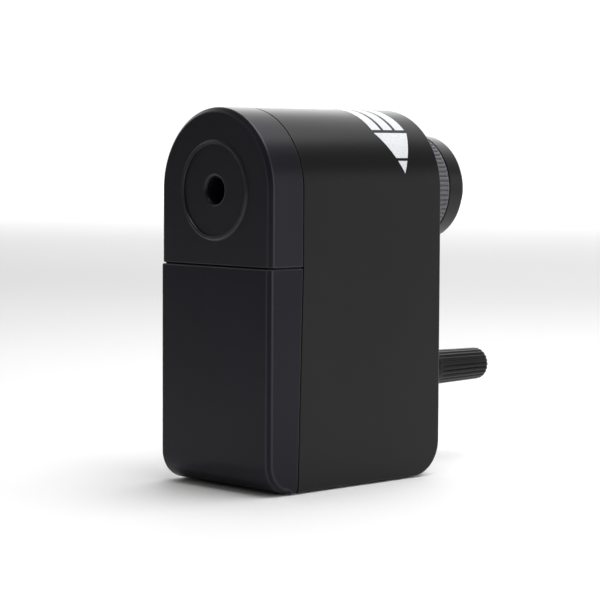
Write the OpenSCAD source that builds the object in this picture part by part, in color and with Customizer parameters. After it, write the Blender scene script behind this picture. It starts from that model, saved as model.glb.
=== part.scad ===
// Hand-crank desk pencil sharpener: arched casing, pull-out shavings drawer, helical cutter on a
// rotating carrier. +Z is up, -Y is the pencil side, +Y is the crank side, millimetres.
// The origin is the centre of the base pad's underside.

/* [Casing] */
// Width of the casing
body_w = 52; // [50:0.5:56]
// Height from the table to the top of the arch
body_h = 120.4; // [116:0.1:130]
// Depth from the front cover's face to the rear wall
body_d = 76.6; // [76.6:0.1:80]
// Thickness of the side walls
wall = 2.2; // [1.8:0.1:2.4]
// Bevel round the front edge
front_bevel = 1.4; // [1:0.1:1.8]
// Radius of the front lower corner, seen from the side
front_foot_r = 9.6; // [6:0.1:10]
// Radius of the rear lower corner, seen from the side
rear_foot_r = 11; // [8:0.5:12]

/* [Drawer] */
// Height of the parting line between the cover and the drawer
drawer_h = 70.7; // [70:0.1:71]
// How far the drawer's face stands proud of the cover's
drawer_proud = 0.5; // [0:0.1:0.8]
// Depth of the front cover and of the drawer's face block at the parting line
face_d = 14.2; // [13.5:0.1:14.5]
// How much thinner the drawer's face block is at the table
face_lean = 1.9; // [0:0.1:2]

/* [Pencil hole] */
// Diameter of the pencil hole
hole_d = 8.2; // [8:0.1:8.6]
// Mean radius of the raised ring round the hole
ring_r = 15; // [13:0.5:17]
// Width of the raised ring
ring_w = 2.4; // [1.5:0.1:3]

/* [Crank] */
// Radius of the crank's round head and of the locking ring
head_r = 18.25; // [17.5:0.05:19]
// Distance from the crank's axis to the grip's axis
crank_l = 62.3; // [55:0.1:66]
// Length of the grip
grip_l = 27.6; // [27:0.1:30]
// Radius of the grip at the arm
grip_r = 6; // [5.6:0.1:6.6]

/* [Cutter] */
// Angle between the cutter's axis and the pencil's
cutter_tilt = 10.5; // [10:0.1:10.8]
// Outer radius of the helical cutter
cutter_r = 5.2; // [5:0.1:5.3]
// Teeth on the helical cutter
cutter_teeth = 9; // [6:1:10]
// Teeth on the pinion
pinion_teeth = 12; // [12:1:12]
// Teeth in the ring gear
ring_teeth = 36; // [36:1:36]

/* [Hidden] */
$fn = 64;

// colours
shell_black = [0.13, 0.13, 0.14];
frame_grey = [0.35, 0.35, 0.37];
acetal_white = [0.88, 0.88, 0.85];
steel = [0.62, 0.63, 0.65];
ring_grey = [0.33, 0.32, 0.36];
pad_black = [0.06, 0.06, 0.06];

// casing
front_y = -body_d / 2;             // every depth below is measured back from the cover's face
half_w = body_w / 2;
axis_z = body_h - half_w;          // height of the pencil's and the crank's axis
pad_t = 1.5;                       // thickness of the base pad
pad_proud = 0.5;                   // how far the pad holds the casing off the table
base_z = pad_proud;                // underside of the casing
rear_wall = 3;
rear_edge_r = 1.2;                 // rounded edge between the casing's sides and its rear wall
seam_gap = 0.3;                    // parting gap between cover, drawer and casing
pad_w = 40;
pad_l = 44;
ledge_w = 1.5;                     // inner ledges that carry the frame's deck
ledge_z = 66.6;
boss_d = 3;                        // raised round seat on the rear wall
collar_d = 10;                     // how far the bayonet collar stands behind the rear wall
collar_r = 15.2;
socket_r = 14;                     // opening for the bearing housing
lug_angle = 40;                    // arc of one bayonet lug
stop_angle = 19;                   // arc of the stop between two lugs: the ring turns by 60 degrees
lug_start = -90 - lug_angle / 2;
screw_x = 17;                      // frame and cover screws, each side of the middle
frame_screw_z = 74.5;
cover_screw_z = 76.5;

// front cover
cover_wall = 2.6;
lip_t = 1.4;
lip_d = 3.3;
guide_r = 6.2;
guide_end = 17;                    // depth at which the pencil guide ends
rim_r = 4.85;                      // countersink round the hole
rim_d = 1;

// mechanism, depths behind the cover's face
apex_d = 88.5;                     // where the cutter's axis meets the pencil's
pitch_slant = 55.2;                // distance of the gears' large ends from that point
pressure_angle = 25;
shaft_cos = cos(cutter_tilt);
ratio = ring_teeth / pinion_teeth;
pinion_cone = atan(sin(cutter_tilt) / (ratio - shaft_cos));
ring_cone = pinion_cone + cutter_tilt;
pinion_pitch_r = pitch_slant * sin(pinion_cone);
ring_pitch_r = pitch_slant * sin(ring_cone);
gear_module = 2 * pinion_pitch_r / pinion_teeth;
gear_play = 0.1;                   // each flank is set back by this
face_width = 4;
ring_gear_r = 18;
ring_gear_start = 33.6;
ring_gear_end = 39.2;
cutter_start = 50;                 // distances from the apex along the cutter's axis
cutter_end = 23.5;
pin_start = 61.2;
pin_end = 20.2;
pin_r = 1.5;
journal_r = 8;                     // carrier's front journal
rear_journal_r = 9;
running = 0.06;                    // radial clearance of the running fits
bulkhead_start = 14.5;
bulkhead_end = 17;
flange_start = 29.8;
flange_end = 32.6;
flange_r = 13;
rear_journal_start = 67;
housing_start = 69.5;
housing_end = 88;
spigot = 9;                        // square drive of the carrier
spigot_end = 92.4;

// locking ring and crank
lock_start = body_d + boss_d + 0.2;
head_start = 89;
rim_end = 96.2;                    // where the head's rim ends and its cone starts
head_end = 102.5;
rim_end_r = 17.5;
cone_end_r = 12.1;
lock_end = head_start - 0.2;
knurls = 72;
cap_r = 8;
screw_bore_r = 3.4;
arm_t = 6;                         // thickness of the arm along the axis
arm_drop = 0.6;                    // how far the arm leans back between the head and the grip
boss_r = 7;
spindle_r = 2.5;
spindle_start = 92.2;
spindle_l = 27.5;
spindle_snap = 22;                 // where the ridge that holds the grip starts on the spindle
grip_start = 96.7;
grip_collar = 2.7;                 // smooth part of the grip, next to the arm
grip_taper = 0.917;
grip_end_r = 1.4;
grip_ribs = 22;

// Places children at a depth behind the cover's face, with their +Z along the pencil's axis.
module along_axis(depth) {
  translate([0, front_y + depth, axis_z]) rotate([-90, 0, 0]) children();
}

// Places children on the cutter's tilted axis, a given distance in front of the apex.
module along_cutter(slant) {
  translate([0, front_y + apex_d - slant * shaft_cos, axis_z + slant * sin(cutter_tilt)])
    rotate([-90 - cutter_tilt, 0, 0]) children();
}

// A plain tube along +Z.
module tube(outer_r, inner_r, h) {
  difference() {
    cylinder(r = outer_r, h = h);
    translate([0, 0, -1]) cylinder(r = inner_r, h = h + 2);
  }
}

// Sweeps a half outline, drawn as [half width, depth], round the arch and down the straight sides.
module arch_sweep(bottom_z) {
  along_axis(0) rotate([0, 0, 180]) rotate_extrude(angle = 180, $fn = 128) children();
  translate([0, front_y, bottom_z]) linear_extrude(axis_z - bottom_z) {
    children();
    mirror([1, 0]) children();
  }
}

// Extrudes a side view, drawn as [y, z], across the width.
module across(width) {
  rotate([90, 0, 90]) translate([0, 0, -width / 2]) linear_extrude(width) children();
}

// Side view of a block whose lower rear corner is rounded.
module rear_foot_outline(y0, y1, z0, r) {
  translate([y0, z0]) square([y1 - r - y0, body_h]);
  translate([y0, z0 + r]) square([y1 - y0, body_h]);
  translate([y1 - r, z0 + r]) circle(r = r);
}

// Side view of everything in front of the leaning parting line, from the table up to it.
module face_outline(gap) {
  polygon([[front_y - 5, -1],
    [front_y + face_d - face_lean - gap, -1],
    [front_y + face_d - face_lean - gap, base_z],
    [front_y + face_d - gap, drawer_h],
    [front_y - 5, drawer_h]]);
}

// Outlines for arch_sweep: the casing's with its rounded rear edge, and the cover's with its bevel.
module casing_half() {
  translate([0, face_d - face_lean]) square([half_w, body_d - rear_edge_r - face_d + face_lean]);
  translate([0, body_d - rear_edge_r - 1]) square([half_w - rear_edge_r, rear_edge_r + 1]);
  translate([half_w - rear_edge_r, body_d - rear_edge_r]) circle(r = rear_edge_r);
}
module bevelled_half(start, end) {
  polygon([[0, start], [half_w - front_bevel, start], [half_w, start + front_bevel],
    [half_w, end], [0, end]]);
}

// Three blocks on or in a ring, each a sector between two radii that starts at a given angle.
module ring_blocks(start, arc, inner_r, outer_r, h) {
  for (i = [0:2]) rotate([0, 0, 120 * i + start])
    rotate_extrude(angle = arc) translate([inner_r, 0]) square([outer_r - inner_r, h]);
}

module casing() {
  inner_w = half_w - wall;
  color(shell_black) difference() {
    union() {
      intersection() {
        arch_sweep(0) casing_half();
        across(body_w + 2) difference() {
          rear_foot_outline(front_y + face_d - face_lean, front_y + body_d, base_z, rear_foot_r);
          translate([front_y - 5, drawer_h]) square([face_d + 5, body_h]);
          face_outline(0);
        }
      }
      along_axis(body_d - 0.5) cylinder(r = head_r, h = boss_d + 0.5, $fn = 96);
      along_axis(body_d) cylinder(r = collar_r, h = collar_d);
      // bayonet lugs, with a stop beside each for the locking ring's own lugs
      along_axis(body_d + collar_d - 2)
        ring_blocks(lug_start, lug_angle, collar_r - 0.5, collar_r + 1.1, 2);
      along_axis(body_d + collar_d - 4.6)
        ring_blocks(lug_start - stop_angle - 0.5, stop_angle, collar_r - 0.5, collar_r + 1.1, 4.6);
    }
    // hollow, open at the front
    intersection() {
      arch_sweep(0) square([inner_w, body_d - rear_wall]);
      across(body_w) rear_foot_outline(front_y - 5, front_y + body_d - rear_wall,
        base_z + wall, rear_foot_r - rear_wall);
    }
    along_axis(body_d - rear_wall - 1) cylinder(r = socket_r, h = rear_wall + collar_d + 2);
    translate([-pad_w / 2, -pad_l / 2, -1]) cube([pad_w, pad_l, 1 + pad_t]);
    for (x = [-screw_x, screw_x]) translate([x, front_y + body_d, frame_screw_z]) {
      rotate([90, 0, 0]) cylinder(r = 1.7, h = 6);
      translate([0, 1, 0]) rotate([90, 0, 0]) cylinder(r = 3.2, h = 2.6);
    }
  }
  color(shell_black) for (s = [-1, 1])
    translate([s * (half_w - wall - ledge_w / 2 + 0.1), front_y + 46, ledge_z + 0.6])
      cube([ledge_w + 0.2, 56, 1.2], center = true);
}

module front_cover() {
  lip_r = half_w - wall - 0.2;
  inner_w = half_w - wall;
  color(shell_black) difference() {
    union() {
      intersection() {
        arch_sweep(0) bevelled_half(0, face_d - seam_gap);
        translate([-half_w - 1, front_y - 1, drawer_h + 0.2]) cube([body_w + 2, 20, body_h]);
      }
      // lip that locates the cover inside the casing
      intersection() {
        difference() {
          arch_sweep(0) translate([0, face_d - 2]) square([lip_r, lip_d + 2]);
          arch_sweep(0) square([lip_r - lip_t, face_d + 10]);
        }
        translate([-half_w, front_y, drawer_h + 0.2]) cube([body_w, 40, body_h]);
      }
      along_axis(0) raised_ring();
    }
    difference() {
      intersection() {
        arch_sweep(0) translate([0, cover_wall]) square([inner_w - lip_t, face_d]);
        translate([-half_w, front_y, drawer_h + 0.2 + 2]) cube([body_w, 40, body_h]);
      }
      for (x = [-screw_x, screw_x]) translate([x, front_y, cover_screw_z])
        rotate([-90, 0, 0]) cylinder(r = 3, h = bulkhead_start - 0.1);
      along_axis(0) cylinder(r = guide_r + 1.6, h = 9);
    }
    along_axis(-1) cylinder(r = hole_d / 2, h = 10);
    along_axis(cover_wall) cylinder(r = guide_r + 0.05, h = 10);
    along_axis(-rim_d) cylinder(r1 = rim_r + (rim_r - hole_d / 2), r2 = hole_d / 2, h = 2 * rim_d);
    for (x = [-screw_x, screw_x]) translate([x, front_y + 5, cover_screw_z])
      rotate([-90, 0, 0]) cylinder(r = 1.05, h = 20);
  }
}

// A low half-round bead, its flat side a little below the cover's face.
module raised_ring() {
  rotate_extrude($fn = 128) translate([ring_r, ring_w / 2 - 0.7]) circle(r = ring_w / 2, $fn = 48);
}

module pencil_guide() {
  color(frame_grey) along_axis(cover_wall) tube(guide_r, hole_d / 2, guide_end - cover_wall);
}

// A pan-head screw along +Z: its head's underside is at 0 and its shank points to -Z.
module screw(head_r, head_h, shank_r, shank_l) {
  cylinder(r = head_r, h = head_h);
  translate([0, 0, -shank_l]) cylinder(r = shank_r, h = shank_l + 0.1);
  translate([0, 0, head_h - 0.01]) difference() {
    cylinder(r = head_r * 0.8, h = 0.3);
    for (a = [0, 90]) rotate([0, 0, a]) cube([head_r, 0.5, 2], center = true);
  }
}

module cover_screws() {
  color(steel) for (x = [-screw_x, screw_x])
    translate([x, front_y + bulkhead_end, cover_screw_z]) rotate([-90, 0, 0])
      screw(2.3, 1.2, 1, 9);
}

module frame_screws() {
  color(steel) for (x = [-screw_x, screw_x])
    translate([x, front_y + body_d - 1.6, frame_screw_z]) rotate([-90, 0, 0])
      screw(2.9, 1.2, 1.2, 11);
}

module inner_frame() {
  deck_z = ledge_z + 1.4;
  bulkhead_w = half_w - wall - 0.2 - lip_t - 0.2;
  color(frame_grey) difference() {
    union() {
      // bulkhead behind the front cover
      intersection() {
        arch_sweep(0) translate([0, bulkhead_start])
          square([bulkhead_w, bulkhead_end - bulkhead_start]);
        translate([-half_w, front_y, deck_z]) cube([body_w, body_d, body_h]);
      }
      // deck above the drawer
      translate([-half_w + wall + 0.4, front_y + bulkhead_start, deck_z])
        cube([body_w - 2 * wall - 0.8, body_d - rear_wall - bulkhead_start - 0.1, 2]);
      along_axis(bulkhead_end - 0.5) cylinder(r = 11, h = 10.5);
      along_axis(bulkhead_end - 0.5) tube(20.2, 17, 39.4 - bulkhead_end + 0.5);
      for (s = [-1, 1]) {
        // cheeks that keep the shavings over the opening
        translate([s * 19.6 - 0.8, front_y + 38, deck_z])
          cube([1.6, body_d - rear_wall - 38.1, axis_z - deck_z]);
        // posts for the rear screws
        translate([s * screw_x, front_y + body_d - rear_wall - 12, frame_screw_z])
          rotate([-90, 0, 0]) cylinder(r = 4.8, h = 11.9);
        // webs that tie the gear cup to the deck
        translate([s * 10 - 0.8, front_y + bulkhead_end - 0.5, deck_z]) cube([1.6, 22, 9]);
      }
    }
    along_axis(bulkhead_start - 1) cylinder(r = journal_r + running, h = 20);
    along_axis(ring_gear_start - 0.2) cylinder(r = ring_gear_r + 0.05, h = 20);
    translate([-17, front_y + 41, deck_z - 1]) cube([34, 20, 4]);
    for (x = [-screw_x, screw_x]) {
      translate([x, front_y + bulkhead_start - 1, cover_screw_z])
        rotate([-90, 0, 0]) cylinder(r = 1.3, h = 4);
      translate([x, front_y + body_d - rear_wall - 11, frame_screw_z])
        rotate([-90, 0, 0]) cylinder(r = 1.25, h = 20);
    }
  }
}

// Angle in degrees that an involute has turned at radius r from its base radius.
function involute_turn(base_r, r) =
  let (a = r > base_r ? acos(base_r / r) : 0) tan(a) * 180 / PI - a;

// Outline of an involute gear, or of the hole of an internal one. play widens each tooth.
module gear_outline(teeth, pitch_r, root_r, tip_r, play) {
  base_r = pitch_r * cos(pressure_angle);
  steps = 4;
  function half_angle(r) = 90 / teeth + play / pitch_r * 180 / PI
    + involute_turn(base_r, pitch_r) - involute_turn(base_r, r);
  function radius(i) = root_r + (tip_r - root_r) * i / steps;
  polygon([for (t = [0:teeth - 1], side = [-1, 1], i = [0:steps])
    let (r = radius(side < 0 ? i : steps - i), a = 360 / teeth * t + side * half_angle(r))
    r * [cos(a), sin(a)]]);
}

// The ring gear's teeth narrow towards the apex, as the pinion's do.
module ring_gear() {
  from_d = ring_gear_start - 1;
  to_d = ring_gear_end + 1;
  pitch_d = pitch_slant * cos(ring_cone);
  from_scale = (apex_d - from_d) / pitch_d;
  to_scale = (apex_d - to_d) / pitch_d;
  color(acetal_white) difference() {
    along_axis(ring_gear_start) cylinder(r = ring_gear_r, h = ring_gear_end - ring_gear_start);
    along_axis(from_d) linear_extrude(to_d - from_d, scale = to_scale / from_scale)
      scale(from_scale) gear_outline(ring_teeth, ring_pitch_r,
        ring_pitch_r - 0.75 * gear_module, ring_pitch_r + 1.15 * gear_module, gear_play);
  }
}

module cutter_pinion() {
  large_d = pitch_slant * cos(pinion_cone);
  small = 1 - face_width / pitch_slant;
  color(acetal_white) difference() {
    along_cutter(large_d) linear_extrude(large_d * (1 - small), scale = small)
      gear_outline(pinion_teeth, pinion_pitch_r, pinion_pitch_r - 1.05 * gear_module,
        pinion_pitch_r + 0.85 * gear_module, -gear_play);
    along_cutter(large_d + 1) cylinder(r = pin_r + running, h = 10);
  }
}

module helical_cutter() {
  length = cutter_start - cutter_end;
  step = 360 / cutter_teeth;
  gullet_r = cutter_r - 1.3;
  color(steel) along_cutter(cutter_start) linear_extrude(length, twist = 75, slices = 24)
    difference() {
      polygon([for (t = [0:cutter_teeth - 1], p = [[0, cutter_r], [0.1, cutter_r],
          [0.45, gullet_r + 0.4], [0.72, gullet_r], [0.92, gullet_r + 0.3]])
        let (a = step * (t + p[0])) p[1] * [cos(a), sin(a)]]);
      circle(r = pin_r + 0.1, $fn = 24);
    }
}

module cutter_carrier() {
  color(frame_grey) difference() {
    union() {
      along_axis(guide_end + 0.6) cylinder(r = journal_r, h = flange_start - guide_end);
      along_axis(flange_start) cylinder(r = flange_r, h = flange_end - flange_start);
      // trough that joins the two ends under the cutter
      along_axis(flange_end - 0.5) rotate([0, 0, 35])
        rotate_extrude(angle = 110) translate([6.2, 0])
          square([3.4, rear_journal_start - flange_end + 1]);
      along_axis(rear_journal_start)
        cylinder(r = rear_journal_r, h = housing_end - 0.1 - rear_journal_start);
      along_axis(housing_end - 0.5) translate([-spigot / 2, -spigot / 2, 0])
        cube([spigot, spigot, spigot_end - housing_end + 0.5]);
    }
    along_axis(guide_end) cylinder(r = 4.6, h = 18);
    along_axis(78) cylinder(r = 1.2, h = 20);
    along_cutter(pin_start + 2) cylinder(r = pin_r + 0.02, h = pin_start + 2 - pin_end + 0.3);
    // windows in the trough
    for (d = [38, 51]) along_axis(d) translate([-2.5, 0, 0]) cube([5, 14, 9]);
  }
}

module cutter_pin() {
  groove = 60.8;                   // slant of the clip's groove
  color(steel) difference() {
    along_cutter(pin_start) cylinder(r = pin_r, h = pin_start - pin_end);
    along_cutter(groove) tube(pin_r + 1, pin_r - 0.4, 0.6);
  }
}

module pin_clip() {
  color(steel) along_cutter(60.75) difference() {
    cylinder(r = 2.9, h = 0.5);
    translate([0, 0, -1]) cylinder(r = pin_r - 0.35, h = 3);
    translate([-0.9, -5, -1]) cube([1.8, 5, 3]);
  }
}

module bearing_housing() {
  color(frame_grey) difference() {
    union() {
      along_axis(housing_start) cylinder(r = socket_r - 0.1, h = housing_end - housing_start);
      along_axis(body_d + collar_d + 0.05)
        cylinder(r = collar_r - 0.2, h = housing_end - body_d - collar_d - 0.05);
    }
    along_axis(housing_start - 1)
      cylinder(r = rear_journal_r + running, h = housing_end - housing_start + 2);
  }
}

module lock_ring() {
  tooth = 360 / knurls;
  cavity_r = collar_r + 1.4;
  color(ring_grey) difference() {
    along_axis(lock_start) linear_extrude(lock_end - lock_start)
      polygon([for (i = [0:knurls - 1], p = [[0, 0], [0.35, 0], [0.6, -0.45], [0.9, -0.45]])
        let (a = tooth * (i + p[0])) (head_r + p[1]) * [cos(a), sin(a)]]);
    along_axis(lock_start - 1) cylinder(r = cavity_r, h = housing_end + 0.1 - lock_start + 1);
    along_axis(lock_start) cylinder(r = 12.8, h = 20);
  }
  color(ring_grey) along_axis(body_d + collar_d - 4.4)
    ring_blocks(lug_start, lug_angle, collar_r + 0.2, cavity_r + 0.5, 2);
}

module thrust_washer() {
  color(steel) along_axis(housing_end + 0.1) tube(12.2, 6.8, 0.5);
}

// Side view of the arm, [y, z]: it leans back towards the grip.
module arm_side() {
  top = axis_z;
  low = axis_z - crank_l - boss_r;
  polygon([[front_y + head_start + 0.6, top], [front_y + head_start + 0.6, top - head_r],
    [front_y + head_start + 0.6 + arm_drop, axis_z - crank_l + boss_r],
    [front_y + head_start + 0.6 + arm_drop, low],
    [front_y + head_start + arm_t + 0.8 + arm_drop, low],
    [front_y + head_start + arm_t + 0.8 + arm_drop, axis_z - crank_l + boss_r],
    [front_y + head_start + arm_t + 0.6, top - head_r + 2],
    [front_y + head_start + arm_t + 0.6, top]]);
}

module crank_arm() {
  color(shell_black) difference() {
    union() {
      along_axis(head_start) rotate_extrude($fn = 128)
        polygon([[0, 0], [head_r, 0], [rim_end_r, rim_end - head_start],
          [cone_end_r, head_end - head_start], [0, head_end - head_start]]);
      along_axis(head_start - 0.3) cylinder(r = 12, h = 1);
      intersection() {
        across(2 * boss_r + 2) arm_side();
        along_axis(head_start) linear_extrude(20) {
          translate([0, crank_l]) circle(r = boss_r);
          polygon([[-7.5, 0], [7.5, 0], [boss_r, crank_l], [-boss_r, crank_l]]);
        }
      }
    }
    // hollow behind the rim, square drive socket, screw seat
    along_axis(head_start - 1) tube(head_r - 1.8, 12, 4.5);
    along_axis(head_start - 1) translate([-spigot / 2 - 0.05, -spigot / 2 - 0.05, 0])
      cube([spigot + 0.1, spigot + 0.1, spigot_end + 0.1 - head_start + 1]);
    along_axis(head_start) cylinder(r = 1.7, h = 20);
    along_axis(spigot_end + 1.3) cylinder(r = screw_bore_r, h = 20);
    along_axis(head_end - 0.6) cylinder(r = cap_r + 0.05, h = 20);
    translate([0, front_y + spindle_start - 0.2, axis_z - crank_l]) rotate([-90, 0, 0])
      cylinder(r = spindle_r + 0.02, h = 20);
  }
}

module crank_screw() {
  color(steel) along_axis(spigot_end + 1.3) screw(2.8, 1.3, 1.15, 13);
}

module hub_cap() {
  color(shell_black) along_axis(head_end - 0.6) rotate_extrude() {
    square([cap_r - 0.05, 0.9]);
    square([cap_r - 0.5, 1.3]);
  }
}

module grip_spindle() {
  color(steel) translate([0, front_y + spindle_start, axis_z - crank_l]) rotate([-90, 0, 0]) {
    cylinder(r = spindle_r, h = spindle_l);
    translate([0, 0, spindle_snap]) cylinder(r = spindle_r + 0.4, h = 1.5);
  }
}

module crank_grip() {
  bore_l = spindle_start + spindle_l - grip_start + 1.4;
  snap_d = spindle_start + spindle_snap - grip_start - 0.2;
  tip_r = grip_r * grip_taper;
  lean = atan((grip_r - tip_r) / (grip_l - grip_collar));
  groove_w = 0.75;
  groove_deep = 0.4;
  color(shell_black) translate([0, front_y + grip_start, axis_z - crank_l]) rotate([-90, 0, 0])
    difference() {
      rotate_extrude() {
        polygon([[0, 0], [grip_r, 0], [grip_r, grip_collar], [tip_r, grip_l - grip_end_r],
          [tip_r - grip_end_r, grip_l - grip_end_r], [tip_r - grip_end_r, grip_l], [0, grip_l]]);
        translate([tip_r - grip_end_r, grip_l - grip_end_r]) circle(r = grip_end_r);
      }
      for (i = [0:grip_ribs - 1]) rotate([0, 0, 360 / grip_ribs * i])
        translate([grip_r - groove_deep, -groove_w / 2, grip_collar]) rotate([0, -lean, 0])
          cube([2, groove_w, grip_l]);
      translate([0, 0, -1]) cylinder(r = spindle_r + 0.08, h = bore_l + 1);
      translate([0, 0, snap_d]) cylinder(r = spindle_r + 0.6, h = 1.9);
    }
}

// Side view of an open tray whose two lower corners are rounded; its rear side may lean.
module tray_outline(y0, y1, y1_top, z0, z1, front_r, rear_r) {
  difference() {
    polygon([[y0, z0], [y1, z0], [y1, z0 + rear_r], [y1_top, z1], [y0, z1]]);
    translate([y0, z0]) corner_cut(front_r);
    translate([y1, z0]) mirror([1, 0]) corner_cut(rear_r);
  }
}
module corner_cut(r) {
  difference() {
    translate([-1, -1]) square(r + 1);
    translate([r, r]) circle(r = r);
  }
}

module shavings_drawer() {
  bin_w = half_w - wall - 0.6;
  bin_t = 1.6;
  bin_z = base_z + wall + 0.5;
  bin_end = front_y + body_d - rear_wall - 2;
  bin_rear_r = 7.5;
  top_z = drawer_h - 0.2;
  face_y = front_y - drawer_proud;
  face_end = front_y + face_d - face_lean - seam_gap;
  face_foot_r = 2;                 // small rounding of the block's rear lower edge
  color(shell_black) difference() {
    union() {
      // face block: bevelled upright edges, rounded lower edges, leaning back face
      intersection() {
        translate([0, front_y, base_z]) linear_extrude(top_z - base_z) {
          bevelled_half(-drawer_proud, face_d);
          mirror([1, 0]) bevelled_half(-drawer_proud, face_d);
        }
        across(body_w + 2) tray_outline(face_y, face_end, front_y + face_d - seam_gap,
          base_z, top_z, front_foot_r, face_foot_r);
      }
      // bin
      across(2 * bin_w)
        tray_outline(front_y + 8, bin_end, bin_end, bin_z, ledge_z - 0.6, 0, bin_rear_r);
    }
    across(2 * (bin_w - bin_t)) tray_outline(front_y + 2.2, bin_end - bin_t, bin_end - bin_t,
      bin_z + bin_t, body_h, front_foot_r, bin_rear_r - bin_t);
  }
}

module base_pad() {
  corner_r = 4;
  color(pad_black) linear_extrude(pad_t) {
    square([pad_w - 0.2 - 2 * corner_r, pad_l - 0.2], center = true);
    square([pad_w - 0.2, pad_l - 0.2 - 2 * corner_r], center = true);
    for (x = [-1, 1], y = [-1, 1])
      translate([x * (pad_w / 2 - 0.1 - corner_r), y * (pad_l / 2 - 0.1 - corner_r)])
        circle(r = corner_r);
  }
}

casing();
front_cover();
pencil_guide();
cover_screws();
inner_frame();
frame_screws();
ring_gear();
bearing_housing();
base_pad();
shavings_drawer();
lock_ring();
cutter_carrier();
cutter_pin();
pin_clip();
thrust_washer();
crank_arm();
crank_screw();
hub_cap();
grip_spindle();
helical_cutter();
cutter_pinion();
crank_grip();
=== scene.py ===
"""Hand-crank desk pencil sharpener: the looks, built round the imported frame.

Metres, +Z up, -Y the pencil side, +Y the crank side. Sizes below are in millimetres, and mm() turns
them into metres.
"""
import math

import bmesh
import bpy
from mathutils import Matrix, Vector


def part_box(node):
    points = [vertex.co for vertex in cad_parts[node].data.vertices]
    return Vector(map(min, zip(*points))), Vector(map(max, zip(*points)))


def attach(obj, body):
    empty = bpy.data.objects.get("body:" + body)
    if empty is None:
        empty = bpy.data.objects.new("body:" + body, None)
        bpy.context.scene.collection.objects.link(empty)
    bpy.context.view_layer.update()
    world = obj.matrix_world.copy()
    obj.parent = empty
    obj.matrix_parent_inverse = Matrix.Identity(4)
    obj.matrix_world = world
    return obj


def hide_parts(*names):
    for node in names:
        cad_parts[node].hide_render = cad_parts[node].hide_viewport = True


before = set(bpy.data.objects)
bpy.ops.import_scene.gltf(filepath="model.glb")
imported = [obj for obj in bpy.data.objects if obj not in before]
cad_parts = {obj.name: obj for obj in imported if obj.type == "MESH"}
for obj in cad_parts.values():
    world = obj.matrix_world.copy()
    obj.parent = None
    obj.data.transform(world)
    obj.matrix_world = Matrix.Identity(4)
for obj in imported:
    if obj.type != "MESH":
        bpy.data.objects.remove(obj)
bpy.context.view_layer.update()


def mm(*values):
    scaled = [v * 0.001 for v in values]
    return scaled[0] if len(scaled) == 1 else Vector(scaled)


def box_mm(node):
    low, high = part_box(node)
    return Vector(low) * 1000, Vector(high) * 1000


# ---- sizes the CAD gives ----
casing_low, casing_high = box_mm("casing")
cover_low = box_mm("front_cover")[0]
drawer_low, drawer_high = box_mm("shavings_drawer")
ring_low, ring_high = box_mm("lock_ring")
arm_low, arm_high = box_mm("crank_arm")
grip_low, grip_high = box_mm("crank_grip")
cap_low, cap_high = box_mm("hub_cap")
pad_low, pad_high = box_mm("base_pad")

HALF_W = casing_high.x
PRINT_T = 0.04                     # thickness of the print on the casing
TOP_Z = casing_high.z
BASE_Z = casing_low.z
AXIS_Z = TOP_Z - HALF_W
BEAD_PROUD = 0.7
FRONT_Y = cover_low.y + BEAD_PROUD
REAR_Y = FRONT_Y + 76.6
DRAWER_Y = drawer_low.y
PART_Z = drawer_high.z + 0.2       # middle of the gap between the cover and the drawer
SEAM_Y = FRONT_Y + 14.2            # casing's front edge above the drawer
SEAM_LEAN = 1.9                    # how much further forward it is at the table
SEAM_GAP = 0.3
BEVEL = 1.4
WALL = 2.2
HEAD_R = (arm_high.x - arm_low.x) / 2
GRIP_Z = (grip_low.z + grip_high.z) / 2


# ---- mesh helpers ----
def solid():
    return bmesh.new()


def moved(bm, verts, by):
    bmesh.ops.translate(bm, verts=verts, vec=mm(*by))


def tidy_normals(bm):
    bmesh.ops.remove_doubles(bm, verts=bm.verts, dist=mm(0.002))
    bmesh.ops.recalc_face_normals(bm, faces=bm.faces)
    return bm


def turned(bm, angle, axis, centre):
    """Turns a whole solid about a line, in degrees."""
    bmesh.ops.rotate(bm, verts=bm.verts, cent=centre,
                     matrix=Matrix.Rotation(math.radians(angle), 3, axis))
    return bm


def block(low, high):
    bm = solid()
    size = Vector(high) - Vector(low)
    middle = (Vector(high) + Vector(low)) / 2
    matrix = Matrix.Translation(middle * 0.001) @ Matrix.Diagonal((*(size * 0.001), 1))
    bmesh.ops.create_cube(bm, size=1, matrix=matrix)
    return bm


def arch_prism(half_w, low_z, y0, y1, steps=72):
    """The arched outline, spun and extended down to low_z, drawn out from y0 to y1."""
    bm = solid()
    start = bm.verts.new(mm(half_w, y0, AXIS_Z))
    spun = bmesh.ops.spin(bm, geom=[start], cent=mm(0, y0, AXIS_Z), axis=(0, -1, 0),
                          angle=math.pi, steps=steps)
    last = [g for g in spun["geom_last"] if isinstance(g, bmesh.types.BMVert)][0]
    legs = bmesh.ops.extrude_vert_indiv(bm, verts=[start, last])["verts"]
    for v in legs:
        v.co.z = mm(low_z)
    bm.edges.new(legs)
    face = bmesh.ops.contextual_create(bm, geom=bm.edges[:])["faces"][0]
    drawn = bmesh.ops.extrude_face_region(bm, geom=[face])["geom"]
    moved(bm, [g for g in drawn if isinstance(g, bmesh.types.BMVert)], (0, y1 - y0, 0))
    return tidy_normals(bm)


def side_prism(profile, half_w):
    """A side view, [y, z] in millimetres, drawn out across the width."""
    bm = solid()
    verts = [bm.verts.new(mm(-half_w, y, z)) for y, z in profile]
    face = bmesh.ops.contextual_create(bm, geom=verts)["faces"][0]
    drawn = bmesh.ops.extrude_face_region(bm, geom=[face])["geom"]
    moved(bm, [g for g in drawn if isinstance(g, bmesh.types.BMVert)], (2 * half_w, 0, 0))
    return tidy_normals(bm)


def edges_where(bm, test):
    return [e for e in bm.edges if test(e.verts[0].co * 1000, e.verts[1].co * 1000)]


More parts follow.
